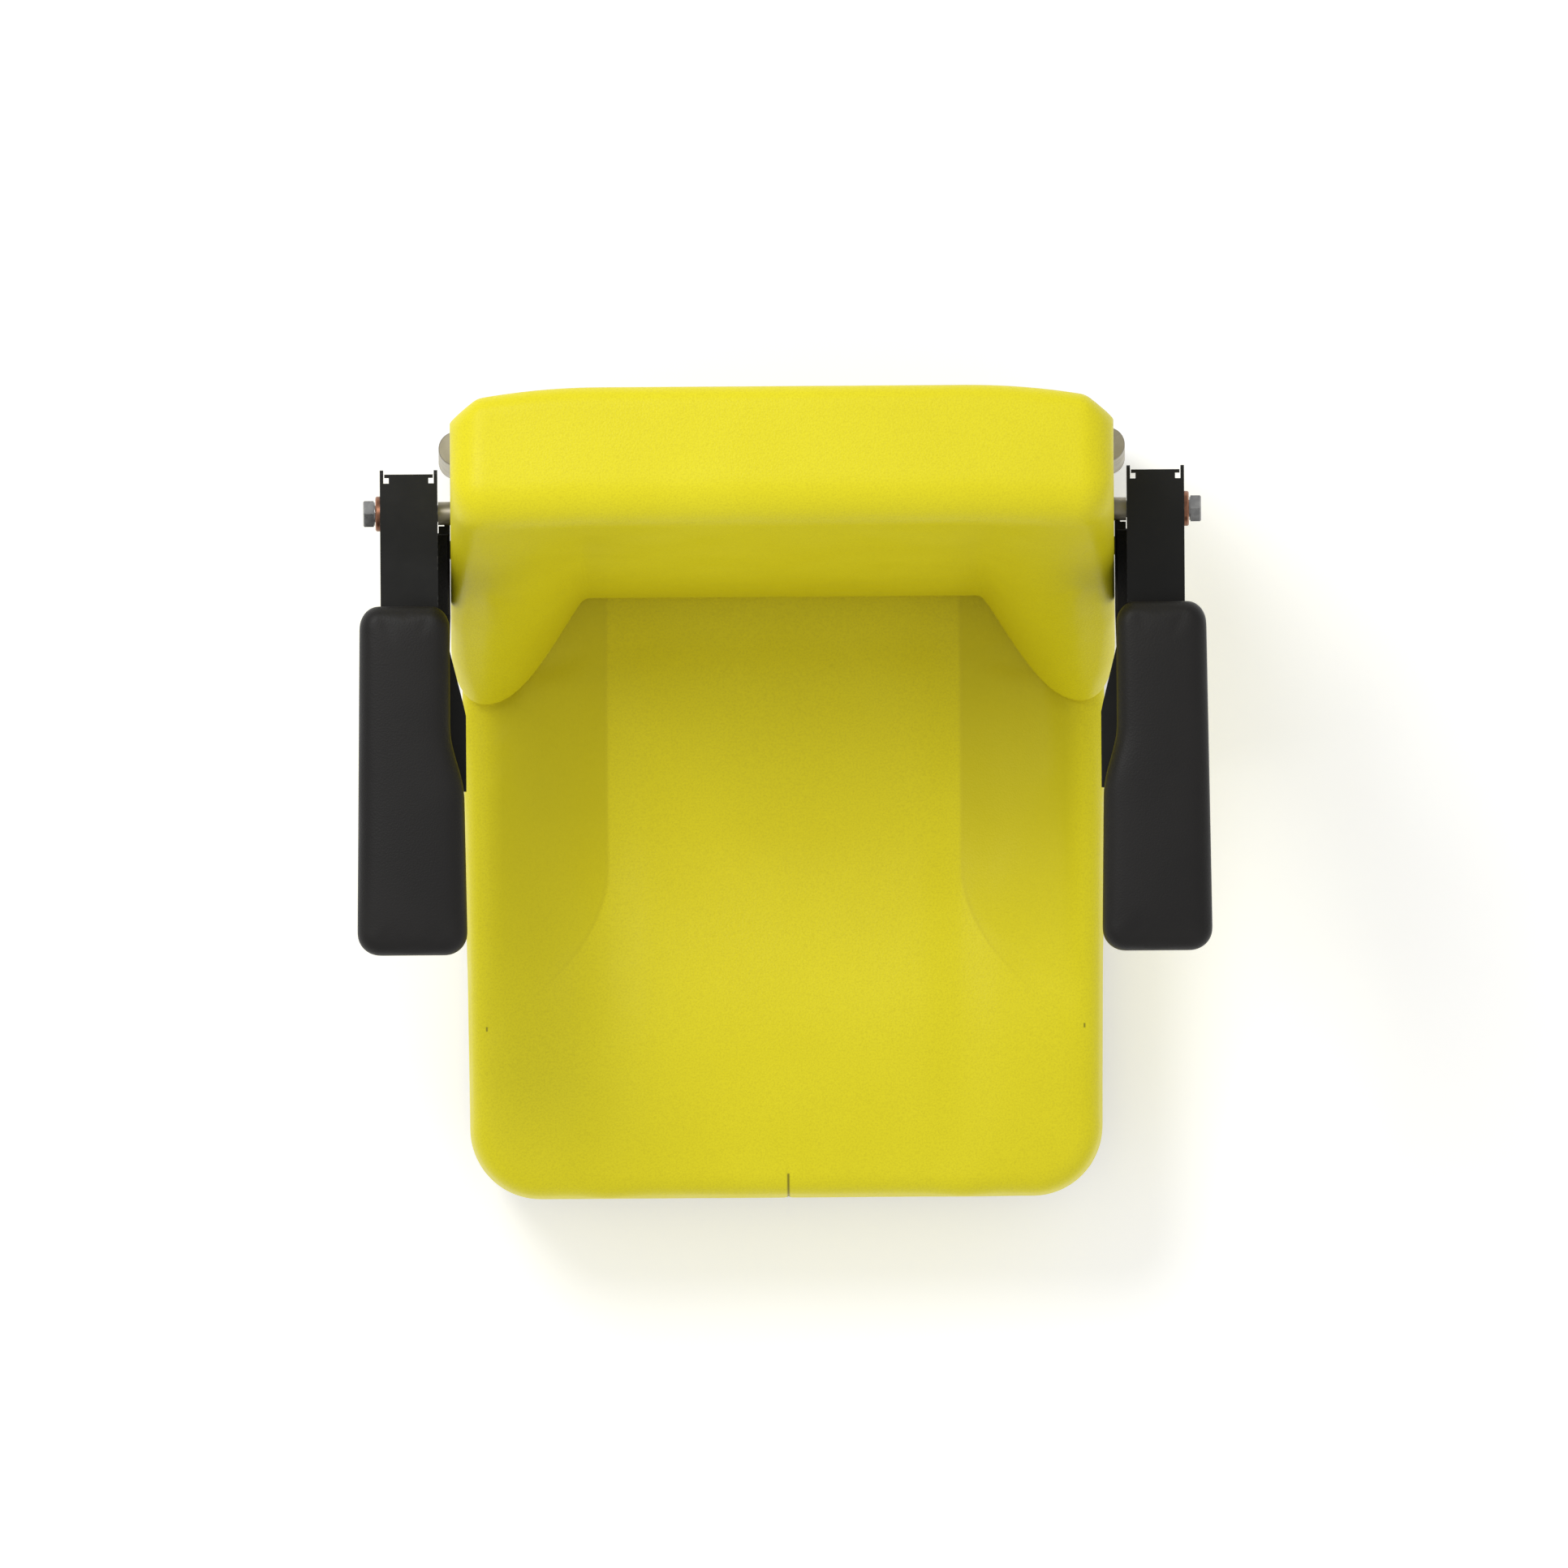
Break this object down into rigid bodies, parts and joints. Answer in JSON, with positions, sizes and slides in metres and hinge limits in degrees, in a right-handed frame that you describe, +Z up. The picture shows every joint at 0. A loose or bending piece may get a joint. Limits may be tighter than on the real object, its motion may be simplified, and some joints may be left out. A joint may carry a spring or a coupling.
{
  "type": "vehicle seat",
  "caption": "Padded vehicle seat with a dished cushion, winged backrest, flip-up armrests and a fore-and-aft slide locked by a side lever.",
  "frame": {"origin": "middle of the floor bolt pattern, on the mounting plane under the floor bars", "axes": "+Z up; the sitter faces -Y; +X is the sitter's left"},
  "size_m": [0.6076, 0.5751, 0.4967],
  "materials": {
    "yellow_vinyl": "satin grained vinyl over moulded foam",
    "black_pad": "matte self-skinned foam",
    "black_steel": "satin black paint",
    "zinc_steel": "zinc plated",
    "bare_steel": "satin steel tube",
    "bronze": "sintered bronze",
    "black_plastic": "moulded plastic"
  },
  "bodies": {
    "base": {"front_floor_bar": "black_steel", "rear_floor_bar": "black_steel", "left_lower_rail": "zinc_steel", "right_lower_rail": "zinc_steel", "rail_rivets": "zinc_steel", "rail_end_stops": "zinc_steel"},
    "seat": {"back_bolts": "zinc_steel", "back_nuts": "zinc_steel", "back_pan": "black_steel", "backrest_cushion": "yellow_vinyl", "beam_bolts": "zinc_steel", "beam_nuts": "zinc_steel", "cross_beam": "black_steel", "left_back_tab": "black_steel", "left_bracket_bolts": "zinc_steel", "left_bracket_nuts": "zinc_steel", "left_bracket_sleeves": "zinc_steel", "left_glides": "black_plastic", "left_pivot_bolt": "zinc_steel", "left_pivot_boss": "bare_steel", "left_pivot_nut": "zinc_steel", "left_post": "bare_steel", "left_post_cap": "bare_steel", "left_slider": "zinc_steel", "left_stop_bracket": "black_steel", "left_stop_pad": "black_pad", "lever_clip": "zinc_steel", "lever_pin": "zinc_steel", "lever_spring": "zinc_steel", "pan_bolts": "zinc_steel", "pan_nuts": "zinc_steel", "right_back_tab": "black_steel", "right_bracket_bolts": "zinc_steel", "right_bracket_nuts": "zinc_steel", "right_bracket_sleeves": "zinc_steel", "right_glides": "black_plastic", "right_pivot_bolt": "zinc_steel", "right_pivot_boss": "bare_steel", "right_pivot_nut": "zinc_steel", "right_post": "bare_steel", "right_post_cap": "bare_steel", "right_slider": "zinc_steel", "right_stop_bracket": "black_steel", "right_stop_pad": "black_pad", "seat_cushion": "yellow_vinyl", "seat_pan": "black_steel"},
    "left_armrest": {"left_arm_channel": "black_steel", "left_arm_bush": "bronze", "left_arm_pad": "black_pad", "left_pad_plate": "zinc_steel", "left_pad_screws": "zinc_steel"},
    "right_armrest": {"right_arm_channel": "black_steel", "right_arm_bush": "bronze", "right_arm_pad": "black_pad", "right_pad_plate": "zinc_steel", "right_pad_screws": "zinc_steel"},
    "lever": {"slide_lever": "black_steel", "lever_grip": "black_plastic"}
  },
  "joints": [
    {"name": "seat_slide", "type": "slide", "parent": "base", "child": "seat", "axis": [0, -1, 0], "range_m": [-0.06, 0.06]},
    {"name": "left_armrest_hinge", "type": "hinge", "parent": "seat", "child": "left_armrest", "pos_m": [0.2655, 0.17, 0.345], "axis": [-1, 0, 0], "range_deg": [0, 100]},
    {"name": "right_armrest_hinge", "type": "hinge", "parent": "seat", "child": "right_armrest", "pos_m": [-0.2655, 0.17, 0.345], "axis": [-1, 0, 0], "range_deg": [0, 100]},
    {"name": "lever_swing", "type": "hinge", "parent": "seat", "child": "lever", "pos_m": [0.151, 0.02, 0.012], "axis": [0, 0, 1], "range_deg": [0, 8], "stiffness_Nm_per_rad": 1.5, "springref_deg": -8.59}
  ]
}
